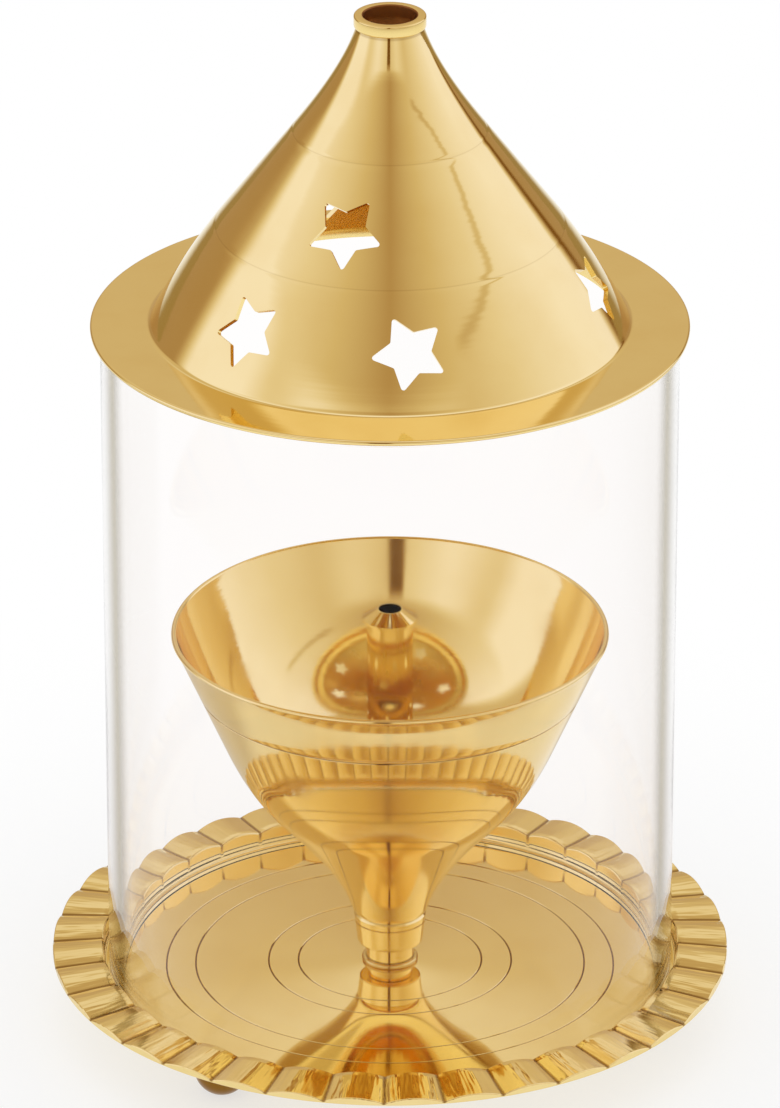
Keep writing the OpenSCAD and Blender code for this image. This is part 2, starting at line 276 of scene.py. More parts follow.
def meet(a, slope_a, b, slope_b):
    """Where a line through a meets a line through b; slopes are radius per height."""
    height = (b[0] - a[0] + slope_a * a[1] - slope_b * b[1]) / (slope_a - slope_b)
    return (a[0] + slope_a * (height - a[1]), height)


# Geometry node trees


def new_tree(name, **inputs):
    """A geometry node tree with a mesh in, a mesh out and the named inputs."""
    tree = bpy.data.node_groups.new(name, "GeometryNodeTree")
    tree.interface.new_socket("Mesh", in_out="INPUT", socket_type="NodeSocketGeometry")
    for label, kind in inputs.items():
        tree.interface.new_socket(label.replace("_", " "), in_out="INPUT", socket_type=kind)
    tree.interface.new_socket("Mesh", in_out="OUTPUT", socket_type="NodeSocketGeometry")
    nodes = Nodes(tree)
    return tree, nodes, nodes.add("NodeGroupInput").outputs


def close_tree(nodes, mesh, finish):
    """Ends a tree: instances become mesh, faces are smooth and take the finish."""
    mesh = nodes.add("GeometryNodeRealizeInstances", {0: mesh}).outputs[0]
    mesh = nodes.add("GeometryNodeSetShadeSmooth", {0: mesh}).outputs[0]
    mesh = nodes.add("GeometryNodeSetMaterial", {"Geometry": mesh, "Material": finish}).outputs[0]
    nodes.add("NodeGroupOutput", {0: mesh})


def lathe_tree():
    """Turns a profile, whose points lie in order in the XZ plane, round the Z axis. Points with a flute
    weight are pressed down between the crests of evenly spaced convex flutes, and the weight of engraved
    lines is handed on, together with painted shade in the creases between the flutes."""
    tree, nodes, given = new_tree(
        "turn_on_the_lathe", Columns="NodeSocketInt", Closing_Rows="NodeSocketInt",
        First_Angle="NodeSocketFloat", Flutes="NodeSocketInt", Flute_Depth="NodeSocketFloat",
        Rim_Radius="NodeSocketFloat", Crease_Sharpness="NodeSocketFloat", Crease_Grime="NodeSocketFloat",
        Finish="NodeSocketMaterial")
    profile_size = nodes.add("GeometryNodeAttributeDomainSize", {0: given["Mesh"]}, component="MESH")
    count = profile_size.outputs["Point Count"]
    rows = nodes.math("ADD", count, given["Closing Rows"])
    grid = nodes.add("GeometryNodeMeshGrid", {
        "Vertices X": nodes.math("ADD", given["Columns"], 1.0), "Vertices Y": rows}).outputs["Mesh"]
    index = nodes.add("GeometryNodeInputIndex").outputs[0]
    column = nodes.math("FLOOR", nodes.math("DIVIDE", index, rows))
    row = nodes.math("MODULO", nodes.math("MODULO", index, rows), count)
    position = nodes.add("GeometryNodeInputPosition").outputs[0]
    point = nodes.add("GeometryNodeSampleIndex", data_type="FLOAT_VECTOR")
    nodes.fill(point, {"Geometry": given["Mesh"], "Value": position, "Index": row})
    point = nodes.add("ShaderNodeSeparateXYZ", {0: point.outputs[0]}).outputs

    def of_profile(name):
        """A weight of the profile's points, at each point of the turned mesh."""
        value = nodes.add("GeometryNodeInputNamedAttribute", {"Name": name}, data_type="FLOAT").outputs[0]
        sample = nodes.add("GeometryNodeSampleIndex", data_type="FLOAT")
        return nodes.fill(sample, {"Geometry": given["Mesh"], "Value": value, "Index": row}).outputs[0]

    # The columns crowd towards the creases, so that these stay sharp
    share = nodes.math("DIVIDE", nodes.math("MULTIPLY", column, given["Flutes"]), given["Columns"])
    crowd = nodes.math("SINE", nodes.math("MULTIPLY", share, 2 * math.pi))
    crowd = nodes.math("DIVIDE", nodes.math("MULTIPLY", crowd, given["Crease Sharpness"]), 2 * math.pi)
    share = nodes.math("SUBTRACT", share, crowd)
    pitch = nodes.math("DIVIDE", 2 * math.pi, given["Flutes"])
    angle = nodes.math("ADD", given["First Angle"], nodes.math("MULTIPLY", share, pitch))
    across = nodes.math("SUBTRACT", nodes.math("MULTIPLY", nodes.math("FRACT", share), 2.0), 1.0)
    drop = nodes.math("MULTIPLY", nodes.math("MULTIPLY", across, across), given["Flute Depth"])
    drop = nodes.math("MULTIPLY", drop, nodes.math("DIVIDE", point["X"], given["Rim Radius"]))
    turned = nodes.vector(
        nodes.math("MULTIPLY", point["X"], nodes.math("SINE", angle)),
        nodes.math("MULTIPLY", point["X"], nodes.math("MULTIPLY", nodes.math("COSINE", angle), -1.0)),
        nodes.math("SUBTRACT", point["Z"], nodes.math("MULTIPLY", drop, of_profile("flute"))))
    # Painted shade darkens the creases between the flutes
    crease = nodes.step(nodes.math("ABSOLUTE", across), 0.86, 1.0)
    crease = nodes.math("MULTIPLY", crease, of_profile("flute"))
    crease = nodes.math("MULTIPLY", crease, given["Crease Grime"])
    darkening_and_shade = nodes.math("MAXIMUM", of_profile("engraved"), crease)
    mesh = nodes.add("GeometryNodeStoreNamedAttribute", {
        "Geometry": grid, "Name": "engraved", "Value": darkening_and_shade}, data_type="FLOAT").outputs[0]
    mesh = nodes.add("GeometryNodeSetPosition", {"Geometry": mesh, "Position": turned}).outputs[0]
    mesh = nodes.add("GeometryNodeMergeByDistance", {"Geometry": mesh, "Distance": WELD_GAP}).outputs[0]
    close_tree(nodes, mesh, given["Finish"])
    return tree


def star_tree():
    """Pierces a lid with upper stars and with pairs of lower stars, each evenly spaced round the Z axis."""
    tree, nodes, given = new_tree(
        "pierce_stars", Upper_Stars="NodeSocketInt", Star_Pairs="NodeSocketInt",
        First_Angle="NodeSocketFloat", Spread="NodeSocketFloat", Tip_Radius="NodeSocketFloat",
        Notch_Radius="NodeSocketFloat", Corner_Radius="NodeSocketFloat", Cut_Depth="NodeSocketFloat",
        Upper_Place="NodeSocketVector", Upper_Lean="NodeSocketFloat", Lower_Place="NodeSocketVector",
        Lower_Lean="NodeSocketFloat", Upper_Turn="NodeSocketFloat", Left_Turn="NodeSocketFloat",
        Right_Turn="NodeSocketFloat", Finish="NodeSocketMaterial")
    star = nodes.add("GeometryNodeCurveStar", {
        "Points": 5, "Inner Radius": given["Notch Radius"], "Outer Radius": given["Tip Radius"],
        "Twist": 0.0}).outputs["Curve"]
    rounded = nodes.add("GeometryNodeFilletCurve", mode="POLY")
    nodes.fill(rounded, {"Curve": star, "Radius": given["Corner Radius"], "Count": 4})
    face = nodes.add("GeometryNodeFillCurve", {0: rounded.outputs[0]}, mode="NGONS").outputs[0]
    half = nodes.vector(z=nodes.math("MULTIPLY", given["Cut Depth"], -0.5))
    face = nodes.add("GeometryNodeTransform", {"Geometry": face, "Translation": half}).outputs[0]
    wall = nodes.add("GeometryNodeExtrudeMesh", {
        "Mesh": face, "Offset": (0.0, 0.0, 1.0), "Offset Scale": given["Cut Depth"], "Individual": False},
        mode="FACES").outputs["Mesh"]
    lower_end = nodes.add("GeometryNodeFlipFaces", {0: face}).outputs[0]
    cutter = nodes.add("GeometryNodeMergeByDistance", {
        "Geometry": nodes.join(wall, lower_end), "Distance": WELD_GAP}).outputs[0]

    def star_at(compass, spot, lean, turn):
        """A cutter with one point down before its turn, leant back onto the cone at a compass angle."""
        one_point_down = nodes.vector(z=nodes.math("SUBTRACT", turn, math.pi / 2))
        lean_back = nodes.vector(y=nodes.math("MULTIPLY", lean, -1.0))
        round_axis = nodes.vector(z=nodes.math("SUBTRACT", compass, math.pi / 2))
        upright = (math.pi / 2, 0.0, math.pi / 2)
        mesh = cutter
        for move in ({"Rotation": one_point_down}, {"Rotation": upright},
                     {"Rotation": lean_back, "Translation": spot}, {"Rotation": round_axis}):
            mesh = nodes.add("GeometryNodeTransform", {"Geometry": mesh, **move}).outputs[0]
        return mesh

    def round_the_lid(mesh, count):
        """Copies of cutters, evenly spaced round the Z axis."""
        index = nodes.add("GeometryNodeInputIndex").outputs[0]
        compass = nodes.math("MULTIPLY", index, nodes.math("DIVIDE", 2 * math.pi, count))
        turn = nodes.add("FunctionNodeEulerToRotation", {0: nodes.vector(z=compass)}).outputs[0]
        points = nodes.add("GeometryNodePoints", {"Count": count}).outputs[0]
        return nodes.add("GeometryNodeInstanceOnPoints", {
            "Points": points, "Instance": mesh, "Rotation": turn}).outputs[0]

    middle = given["First Angle"]
    left = nodes.math("SUBTRACT", middle, given["Spread"])
    right = nodes.math("ADD", middle, given["Spread"])
    lower_spot, lower_lean = given["Lower Place"], given["Lower Lean"]
    upper = star_at(middle, given["Upper Place"], given["Upper Lean"], given["Upper Turn"])
    pair = nodes.join(star_at(left, lower_spot, lower_lean, given["Left Turn"]),
                      star_at(right, lower_spot, lower_lean, given["Right Turn"]))
    cutters = nodes.join(round_the_lid(upper, given["Upper Stars"]),
                         round_the_lid(pair, given["Star Pairs"]))
    cutters = nodes.add("GeometryNodeRealizeInstances", {0: cutters}).outputs[0]
    pierced = nodes.add("GeometryNodeMeshBoolean", operation="DIFFERENCE", solver="EXACT")
    nodes.fill(pierced, {"Mesh 1": given["Mesh"], "Mesh 2": cutters})
    close_tree(nodes, pierced.outputs["Mesh"], given["Finish"])
    return tree


def circle_tree():
    """Sets copies of a piece on a circle round the Z axis."""
    tree, nodes, given = new_tree(
        "set_on_a_circle", Count="NodeSocketInt", Radius="NodeSocketFloat", First_Angle="NodeSocketFloat",
        Finish="NodeSocketMaterial")
    index = nodes.add("GeometryNodeInputIndex").outputs[0]
    step = nodes.math("DIVIDE", 2 * math.pi, given["Count"])
    angle = nodes.math("ADD", given["First Angle"], nodes.math("MULTIPLY", index, step))
    spot = nodes.vector(
        nodes.math("MULTIPLY", given["Radius"], nodes.math("SINE", angle)),
        nodes.math("MULTIPLY", given["Radius"], nodes.math("MULTIPLY", nodes.math("COSINE", angle), -1.0)))
    points = nodes.add("GeometryNodePoints", {"Count": given["Count"], "Position": spot}).outputs[0]
    copies = nodes.add("GeometryNodeInstanceOnPoints", {
        "Points": points, "Instance": given["Mesh"]}).outputs[0]
    close_tree(nodes, copies, given["Finish"])
    return tree


def place(obj):
    bpy.context.scene.collection.objects.link(obj)
    return obj


def grown(name, tree, mesh, **sizes):
    """An object with the plain mesh that a geometry node tree makes of a start mesh and named inputs."""
    obj = place(bpy.data.objects.new(name, mesh))
    modifier = obj.modifiers.new(tree.name, "NODES")
    modifier.node_group = tree
    for item in tree.interface.items_tree:
        label = item.name.replace(" ", "_")
        if item.in_out == "INPUT" and label in sizes:
            modifier[item.identifier] = sizes[label]
    made = bpy.data.meshes.new_from_object(obj.evaluated_get(bpy.context.evaluated_depsgraph_get()))
    obj.modifiers.remove(modifier)
    obj.data = made
    made.name = name
    made.materials.clear()
    made.materials.append(sizes["Finish"])
    made.polygons.foreach_set("material_index", [0] * len(made.polygons))
    return obj


def crisp(obj, degrees=35.0):
    """Faces outwards and smooth, with sharp edges where the surface turns by more than some degrees. Large
    faces lead the shading, so that flat and straight stretches stay so beside their rounded edges."""
    mesh = obj.data
    work = bmesh.new()
    work.from_mesh(mesh)
    if work.calc_volume(signed=True) < 0:
        bmesh.ops.reverse_faces(work, faces=work.faces)
    work.to_mesh(mesh)
    work.free()
    mesh.shade_smooth()
    mesh.set_sharp_from_angle(angle=math.radians(degrees))
    lead = obj.modifiers.new("large_faces_lead", "WEIGHTED_NORMAL")
    lead.mode = "FACE_AREA"
    lead.weight = 100
    lead.keep_sharp = True
    obj.data = bpy.data.meshes.new_from_object(obj.evaluated_get(bpy.context.evaluated_depsgraph_get()))
    obj.modifiers.remove(lead)
    obj.data.name = obj.name
    return obj


def profile_mesh(points):
    """A mesh, in metres, of profile points: radius, height and maybe the weights of flutes and engraving."""
    mesh = bpy.data.meshes.new("profile")
    mesh.from_pydata([(p[0] * MM, 0.0, p[1] * MM) for p in points], [], [])
    for place_in_point, name in ((2, "flute"), (3, "engraved")):
        weights = mesh.attributes.new(name, "FLOAT", "POINT")
        for weight, point in zip(weights.data, points):
            weight.value = point[place_in_point] if len(point) > place_in_point else 0.0
    return mesh


def turned(name, points, finish, columns=128, **flutes):
    """A piece turned from a profile, which a last row closes unless it starts and ends on the axis."""
    on_axis = points[0][0] == 0 and points[-1][0] == 0
    sizes = {"First_Angle": 0.0, "Flutes": 1, "Flute_Depth": 0.0, "Rim_Radius": 1.0,
             "Crease_Sharpness": 0.0, "Crease_Grime": 0.0}
    sizes.update(flutes)
    obj = grown(name, LATHE, profile_mesh(points), Columns=columns, Closing_Rows=0 if on_axis else 1,
                Finish=finish, **sizes)
    return crisp(obj)


def finish_inside(obj, finish, above=0.0):
    """Gives the faces that look to the axis or straight down a finish of their own, from a height up."""
    obj.data.materials.append(finish)
    slot = len(obj.data.materials) - 1
    for face in obj.data.polygons:
        outwards = Vector((face.center.x, face.center.y, 0.0)).normalized()
        looks_inwards = face.normal.dot(outwards) < -0.3
        looks_down = face.normal.z < -0.9
        if face.center.z > above * MM and (looks_inwards or looks_down):
            face.material_index = slot


def drilled(obj, radius, height):
    """A piece with a round hole through it from front to back at a height, in millimetres."""
    bit_r, bit_length = radius * MM, 20 * MM
    bit = bmesh.new()
    bmesh.ops.create_cone(bit, cap_ends=True, segments=32, radius1=bit_r, radius2=bit_r, depth=bit_length)
    bmesh.ops.rotate(bit, verts=bit.verts, cent=(0, 0, 0), matrix=Matrix.Rotation(math.pi / 2, 3, "X"))
    bmesh.ops.translate(bit, verts=bit.verts, vec=(0, 0, height * MM))
    bit_mesh = bpy.data.meshes.new("bit")
    bit.to_mesh(bit_mesh)
    bit.free()
    bit_obj = place(bpy.data.objects.new("bit", bit_mesh))
    cut = obj.modifiers.new("hole", "BOOLEAN")
    cut.object = bit_obj
    cut.solver = "EXACT"
    obj.data = bpy.data.meshes.new_from_object(obj.evaluated_get(bpy.context.evaluated_depsgraph_get()))
    obj.modifiers.remove(cut)
    bpy.data.objects.remove(bit_obj)
    return crisp(obj)


# Materials


def new_material(name):
    material = bpy.data.materials.new(name)
    material.use_nodes = True
    material.node_tree.nodes.clear()
    return material, Nodes(material.node_tree)


def bump(nodes, normal, height, depth):
    """A normal bent by a height between 0 and 1, over a depth in millimetres."""
    inputs = {"Height": height, "Distance": depth * MM, "Normal": normal}
    return nodes.add("ShaderNodeBump", inputs).outputs[0]


def mix(nodes, share, first, second):
    """A colour between two, each a value or a socket."""
    node = nodes.add("ShaderNodeMix", {"Factor": share}, data_type="RGBA")
    return nodes.fill(node, {"A": first, "B": second}).outputs["Result"]


def noise(nodes, spot, scale, detail):
    """A cloudy value between 0 and 1."""
    inputs = {"Vector": spot, "Scale": scale, "Detail": detail}
    return nodes.add("ShaderNodeTexNoise", inputs).outputs["Fac"]


def pressed_relief(nodes, normal, spot):
    """The floor of the tray falls a little from its middle, and the press drew streaks across the rim."""
    radius = spot["radius"]
    fall = nodes.math("DIVIDE", nodes.math("SUBTRACT", RECESS_R, radius), RECESS_R)
    normal = bump(nodes, normal, nodes.math("MAXIMUM", fall, 0.0), DOME_RELIEF)
    round_rim = nodes.math("MULTIPLY", nodes.math("ARCTAN2", spot["x"], spot["y"]), RECESS_R)
    streaks = noise(nodes, nodes.vector(round_rim, nodes.math("MULTIPLY", radius, 0.12)), 0.55, 2.0)
    streaks = nodes.math("MULTIPLY", streaks, nodes.step(radius, RECESS_R, RECESS_R + 1.5))
    return bump(nodes, normal, streaks, STREAK_RELIEF)


def band_relief(nodes, normal, spot):
    """The rim band of the bowl is polished a little steeper round its engraved line."""
    low, high = BOWL_LINE - BAND_RELIEF_REACH, BOWL_HIGH.z + BAND_RELIEF_REACH
    return bump(nodes, normal, nodes.step(spot["z"], low, high, 1.0, 0.0), BAND_RELIEF)


def brass(name, colour, roughness, ripple, turning, haze=0.0, wobble=0.0, relief=None):
    """Polished brass, darker where the engraved weight is set: painted shade in creases and seams, and a plain
    darkening in engraved lines. Ripple, turning and wobble are depths in millimetres: of the waves that the
    spinning tool left round the axis, of the fine turned lines and of the slow unevenness of hand polishing.
    Relief is a function that adds what one piece has of its own."""
    material, nodes = new_material(name)
    spot = nodes.add("ShaderNodeTexCoord").outputs["Object"]
    spot = nodes.add("ShaderNodeVectorMath", {0: spot, "Scale": 1 / MM}, operation="SCALE").outputs[0]
    x, y, z = nodes.add("ShaderNodeSeparateXYZ", {0: spot}).outputs
    radius = nodes.off_axis(x, y)
    slow = noise(nodes, spot, 0.045, 1.0)
    # A point's place across the turned lines, which drift a little on their way round
    lines = nodes.vector(radius, nodes.math("MULTIPLY", slow, 2.5), z)
    waves = noise(nodes, lines, 0.33, 2.0)
    fine = noise(nodes, lines, 2.6, 3.0)
    patches = noise(nodes, spot, 0.09, 4.0)
    normal = nodes.add("ShaderNodeBump", {"Height": slow, "Distance": wobble * MM}).outputs[0]
    if relief:
        normal = relief(nodes, normal, {"x": x, "y": y, "z": z, "radius": radius})
    normal = bump(nodes, bump(nodes, normal, waves, ripple), fine, turning)
    dulled = nodes.step(patches, 0.4, 0.75, roughness, roughness + haze)
    deeper = [value * share for value, share in zip(colour, (0.93, 0.86, 0.72))]
    tint = mix(nodes, nodes.step(patches, 0.35, 0.8, 0.0, 0.35), (*colour, 1.0), (*deeper, 1.0))
    # The engraved weight paints shade into creases and seams, and darkens the engraved lines
    engraved = nodes.add("ShaderNodeAttribute", attribute_name="engraved").outputs["Fac"]
    darkened_and_shaded = mix(nodes, nodes.step(engraved, 0.05, 0.6, 0.0, 0.85), tint, (*DARK_LINE_AND_SHADE, 1.0))
    shader = nodes.add("ShaderNodeBsdfPrincipled", {
        "Base Color": darkened_and_shaded, "Metallic": 1.0, "Roughness": dulled, "Normal": normal})
    nodes.add("ShaderNodeOutputMaterial", {"Surface": shader.outputs[0]})
    return material


def steel(name):
    material, nodes = new_material(name)
    spot = nodes.add("ShaderNodeTexCoord").outputs["Object"]
    dulled = nodes.step(noise(nodes, spot, 600.0, 3.0), 0.3, 0.7, 0.22, 0.4)
    shader = nodes.add("ShaderNodeBsdfPrincipled", {
        "Base Color": (*PLATED_STEEL, 1.0), "Metallic": 1.0, "Roughness": dulled})
    nodes.add("ShaderNodeOutputMaterial", {"Surface": shader.outputs[0]})
    return material


def clear_glass(name):
    """Clear glass, a little uneven, with a painted brown shade at its outline, which stands for the dark
    things its edges reflect and partly for light's longer way through.
    """
    material, nodes = new_material(name)
    spot = nodes.add("ShaderNodeTexCoord").outputs["Object"]
    waves = noise(nodes, spot, 22.0, 1.0)
    normal = nodes.add("ShaderNodeBump", {"Height": waves, "Distance": 0.03 * MM}).outputs[0]
    x, y, _ = nodes.add("ShaderNodeSeparateXYZ", {0: spot}).outputs
    middle_of_wall = (GLASS_HIGH.x - GLASS_WALL / 2) * MM
    outer_face = nodes.math("GREATER_THAN", nodes.off_axis(x, y), middle_of_wall)
    facing = nodes.add("ShaderNodeLayerWeight", {"Blend": 0.5}).outputs["Facing"]
    # Painted shade: the outer face turns brown towards its outline
    edge = nodes.math("MULTIPLY", nodes.step(facing, 0.64, 0.74), nodes.step(facing, 0.74, 0.90, 1.0, 0.2))
    edge = nodes.math("MULTIPLY", edge, outer_face)
    clear = nodes.add("ShaderNodeBsdfPrincipled", {
        "Base Color": mix(nodes, edge, (*GLASS_TINT, 1.0), (*GLASS_EDGE_PAINTED_SHADE, 1.0)), "Roughness": 0.0,
        "IOR": 1.47, "Transmission Weight": 1.0, "Specular Tint": (0.2, 0.2, 0.2, 1.0), "Normal": normal})
    nodes.add("ShaderNodeOutputMaterial", {"Surface": clear.outputs[0]})
    return material


SHEET_BRASS = (0.93, 0.75, 0.34)
TURNED_BRASS = (0.91, 0.71, 0.29)
RAW_BRASS = (0.95, 0.76, 0.32)
# The feet's brass is painted darker, as painted shade under the tray
FOOT_BRASS_PAINTED_SHADE = (0.28, 0.14, 0.025)
# Painted shade inside the smoke hole: its bore is made of dark brass
BORE_BRASS_PAINTED_SHADE = (0.33, 0.13, 0.035)
DARK_LINE_AND_SHADE = (0.30, 0.15, 0.025)
PLATED_STEEL = (0.55, 0.55, 0.53)
GLASS_TINT = (1.0, 0.99, 0.985)
GLASS_EDGE_PAINTED_SHADE = (0.24, 0.20, 0.12)

LID_FINISH = brass("spun_polished_brass", SHEET_BRASS, 0.06, ripple=0.02, turning=0.0006, haze=0.05,
                   wobble=0.05)
LID_INSIDE_FINISH = brass("spun_brass_unpolished", RAW_BRASS, 0.2, ripple=0.01, turning=0.002, haze=0.1)
TRAY_FINISH = brass("pressed_polished_brass", SHEET_BRASS, 0.05, ripple=0.003, turning=0.0005, haze=0.05,
                    wobble=0.05, relief=pressed_relief)
BOWL_FINISH = brass("turned_polished_brass", SHEET_BRASS, 0.06, ripple=0.006, turning=0.0012, haze=0.06,
                    relief=band_relief)
BOWL_INSIDE_FINISH = brass("turned_brass_with_fine_lines", SHEET_BRASS, 0.06, ripple=0.006, turning=0.004,
                           haze=0.06)
FITTING_FINISH = brass("turned_brass", TURNED_BRASS, 0.1, ripple=0.001, turning=0.0015, haze=0.05)
FOOT_FINISH = brass("cast_brass", FOOT_BRASS_PAINTED_SHADE, 0.16, ripple=0.002, turning=0.0008, haze=0.1)
BORE_PAINTED_SHADE_FINISH = brass("sooty_brass", BORE_BRASS_PAINTED_SHADE, 0.45, ripple=0.002, turning=0.003, haze=0.15)
STEEL_FINISH = steel("screw_steel")
GLASS_FINISH = clear_glass("clear_glass")


# Pieces

LATHE = lathe_tree()
STARS = star_tree()
CIRCLE = circle_tree()


def tray_points():
    """Floor with engraved rings, recess wall and fluted rim, with the weight of the flutes at each point."""
    wall_r, rim_r, under = RECESS_R + TRAY_T, TRAY_HIGH.x, TRAY_LOW.z
    crest_edge = RIM_CREST - RIM_FALL
    edge, lip, foot = 0.25, 0.4, 0.6
    points = [(SCREW_HOLE_R, under, 0.0)]
    points += [(*p, 0.0) for p in arc((wall_r - foot, under + foot), foot, -90, 0)]
    points += [(*p, 0.0) for p in arc((wall_r + edge, RIM_UNDER - edge), edge, 180, 90)]
    points += [(*p, 0.0) for p in arc((rim_r - edge, RIM_UNDER + edge), edge, -90, 0)]
    points += [(*p, 1.0) for p in arc((rim_r - edge, crest_edge - edge), edge, 0, 90)]
    points += [(*p, 1.0) for p in line((rim_r - edge, crest_edge), (RECESS_R + lip, RIM_CREST), 8)]
    points += [(*p, 1.0) for p in arc((RECESS_R + lip, RIM_CREST - lip), lip, 90, 180)]
    points += [(*p, 0.0) for p in arc((RECESS_R - foot, FLOOR + foot), foot, 0, -90)]
    for ring in reversed(RING_RADII):
        points += [(ring + RING_LINE_W / 2, FLOOR, 0.0), (ring, FLOOR - RING_LINE_DEPTH, 0.0, 1.0),
                   (ring - RING_LINE_W / 2, FLOOR, 0.0)]
    return points + [(SCREW_HOLE_R, FLOOR, 0.0)]


def bowl_points():
    """Stem, flare and rim band outside, the oil room inside and the sockets of wick tube and screw."""
    rim = (BOWL_HIGH.x, BOWL_HIGH.z)
    flare_slope = (FLARE_END[0] - FLARE_BEND[0]) / (FLARE_END[1] - FLARE_BEND[1])
    band_slope = (rim[0] - SHOULDER[0]) / (rim[1] - SHOULDER[1])
    shoulder_bend = meet(FLARE_END, flare_slope, SHOULDER, band_slope)
    outside = bend(STEM_TOP, FLARE_BEND, FLARE_END) + bend(FLARE_END, shoulder_bend, SHOULDER)[1:]
    outside += line(SHOULDER, rim, 12) + [rim]
    rim_round, stem_edge = BOWL_WALL / 2, 0.5
    inside_rim = (rim[0] - BOWL_WALL, rim[1] - rim_round)
    inside_bend = (SHOULDER[0] - INSIDE_TURN, OIL_FLOOR)
    inside = bend(inside_rim, inside_bend, (OIL_FLOOR_R, OIL_FLOOR), 48)[1:]
    outside = [p for p in notched(outside, BOWL_LINE) if p[1] < rim[1] - rim_round]
    stem = arc((STEM_R - stem_edge, BOWL_LOW.z + stem_edge), stem_edge, -90, 0)
    stem += line(stem[-1], STEM_TOP, 4)
    groove = [(STEM_TOP[0] - GROOVE_LIP, GROOVE_LOW),
              (STEM_TOP[0] - GROOVE_DEPTH, STEM_TOP[1], 0.0, STEM_GROOVE_DARKENING)]
    return (
        [(0.0, THREAD_HOLE_TOP), (THREAD_HOLE_R, THREAD_HOLE_TOP), (THREAD_HOLE_R, BOWL_LOW.z)]
        + stem + groove + [p for p in outside if p[1] > GROOVE_HIGH]
        + arc((rim[0] - rim_round, rim[1] - rim_round), rim_round, 0, 180, 10)
        + inside + [(SOCKET_R, OIL_FLOOR), (SOCKET_R, TUBE_LOW.z), (0.0, TUBE_LOW.z)])


def lid_curve():
    """The lid's outer path from the foot of the cone to the neck."""
    foot = (CONE_BASE_R, BRIM_TOP)
    neck = (NECK_R, LID_HIGH.z)
    normal = Vector((LINE_LOW[1] - foot[1], foot[0] - LINE_LOW[0])).normalized()
    swell = [(a + b) / 2 + CONE_SWELL * n for a, b, n in zip(foot, LINE_LOW, normal)]
    band_slope = (LINE_HIGH[0] - LINE_LOW[0]) / (LINE_HIGH[1] - LINE_LOW[1])
    neck_bend = meet(LINE_HIGH, band_slope, neck, NECK_SLOPE)
    return (bend(foot, swell, LINE_LOW) + line(LINE_LOW, LINE_HIGH, 16)
            + bend(LINE_HIGH, neck_bend, neck, 40))


def lid_points():
    """Brim and cone in one sheet, with two fine, darkened spinning lines and painted shade in the seam under
    the collar.
    """
    brim_r, edge = LID_HIGH.x, LID_T / 2
    path = lid_curve()
    inside = [p for p in beside(path, LID_T) if BRIM_TOP < p[1] < LID_HIGH.z]
    outside = path
    for height in (LINE_LOW[1], LINE_HIGH[1]):
        outside = notched(outside, height, LID_LINE_W, LID_LINE_DEPTH, LID_LINE_DARKENING)
    lean = math.atan2(path[0][0] - path[1][0], path[1][1] - path[0][1])
    foot_x = CONE_BASE_R + CONE_FOOT_ROUND * math.tan(math.pi / 4 - lean / 2)
    foot = arc((foot_x, BRIM_TOP + CONE_FOOT_ROUND), CONE_FOOT_ROUND, -90, -180 + math.degrees(lean), 8)
    outside = [p for p in outside if p[1] > foot[-1][1] + 0.2]
    # Painted shade in the seam just under the collar
    outside[-2:] = [(*p[:2], 0.0, LID_SEAM_PAINTED_SHADE) for p in outside[-2:]]
    return (arc((brim_r - edge, BRIM_TOP - edge), edge, -90, 90, 12) + foot + outside
            + [(NECK_R - LID_T, LID_HIGH.z)] + inside[::-1] + [(inside[0][0], LID_LOW.z)])


def star_seat(path, height):
    """Radius of the lid at a height, and how far its surface leans back there."""
    low, high = radius_at(path, height - 1), radius_at(path, height + 1)
    return (low + high) / 2, math.atan((low - high) / 2)


def glass_points():
    """A tube whose ends stop a hair short of tray and lid, so that light isn't caught between them."""
    outer, inner = GLASS_HIGH.x, GLASS_HIGH.x - GLASS_WALL
    low, high = GLASS_LOW.z + GLASS_END_GAP, GLASS_HIGH.z - GLASS_END_GAP
    foot, edge = GLASS_FOOT_EDGE_R, GLASS_EDGE_R
    return (arc((outer - foot, low + foot), foot, -90, 0) + arc((outer - edge, high - edge), edge, 0, 90)
            + arc((inner + edge, high - edge), edge, 90, 180)
            + arc((inner + foot, low + foot), foot, 180, 270))


def collar_points():
    """A ring with rounded edges round the smoke hole."""
    outer, low, high = COLLAR_HIGH.x, COLLAR_LOW.z, COLLAR_HIGH.z
    edge, hole_edge = (high - low) * COLLAR_EDGE_SHARE, COLLAR_HOLE_EDGE_R
    return ([(COLLAR_HOLE_R, low)] + arc((outer - edge, low + edge), edge, -90, 0)
            + arc((outer - edge, high - edge), edge, 0, 90)
            + arc((COLLAR_HOLE_R + hole_edge, high - hole_edge), hole_edge, 90, 180))


def spool_points():
    """A round ring on the floor of the tray and a neck under the stem, with painted shade where they meet."""
    round_r, ring_top = SPOOL_RING_H / 2, FLOOR + SPOOL_RING_H
    ring = arc((SPOOL_HIGH.x - round_r, FLOOR + round_r), round_r, -90, 90, 10)
    # Painted shade on the ring and where the neck meets ring and stem
    return ([(SCREW_HOLE_R, FLOOR)] + [(*p, 0.0, SPOOL_RING_PAINTED_SHADE) for p in ring]
            + [(SPOOL_NECK_R, ring_top, 0.0, SPOOL_LOW_PAINTED_SHADE), (SPOOL_NECK_R, ring_top + SPOOL_NECK_EDGE),
               (SPOOL_NECK_R, SPOOL_HIGH.z - SPOOL_NECK_EDGE),
               (SPOOL_NECK_R, SPOOL_HIGH.z, 0.0, SPOOL_HIGH_PAINTED_SHADE), (SCREW_HOLE_R, SPOOL_HIGH.z)])


